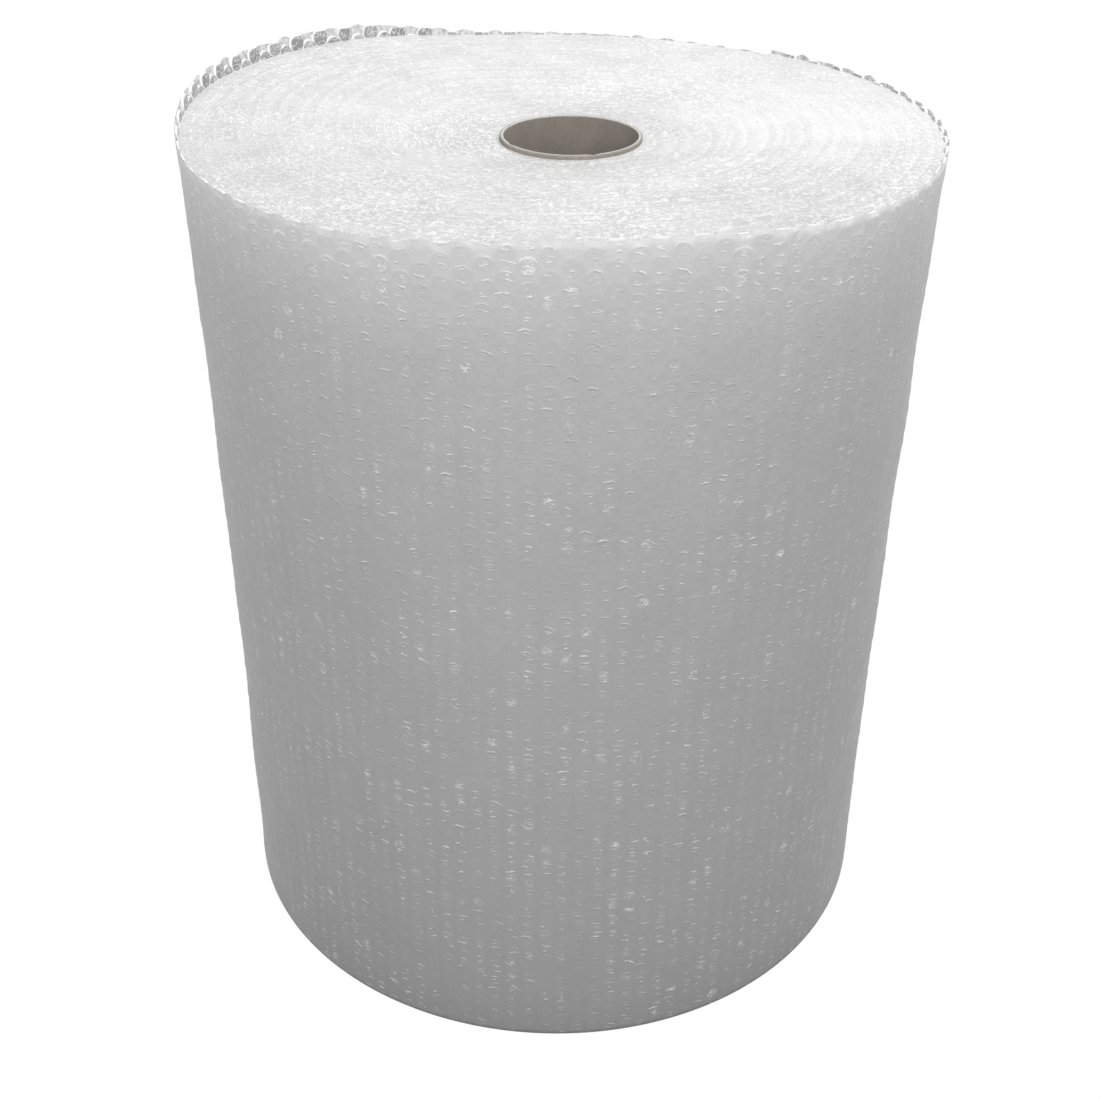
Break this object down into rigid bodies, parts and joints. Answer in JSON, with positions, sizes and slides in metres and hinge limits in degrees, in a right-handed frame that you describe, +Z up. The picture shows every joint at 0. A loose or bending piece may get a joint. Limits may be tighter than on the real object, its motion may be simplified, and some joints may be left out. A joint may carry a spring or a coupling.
{
  "type": "bubble wrap roll",
  "caption": "Roll of small-bubble cushioning film wound on a cardboard tube core, standing on its end, with its last turn loose and proud at the top.",
  "frame": {"origin": "on the core's axis, level with the end that the roll stands on", "axes": "+Z up the core's axis; -Y to the front, away from the free end of the film"},
  "size_m": [0.4199, 0.4173, 0.516],
  "materials": {
    "bubble_film": "clear film seen in many layers, pale and milky, glossy on the outside",
    "core_board": "grey-brown board, matt"
  },
  "bodies": {
    "root": {"bubble_wrap_roll": "bubble_film", "cardboard_core": "core_board"}
  },
  "joints": []
}
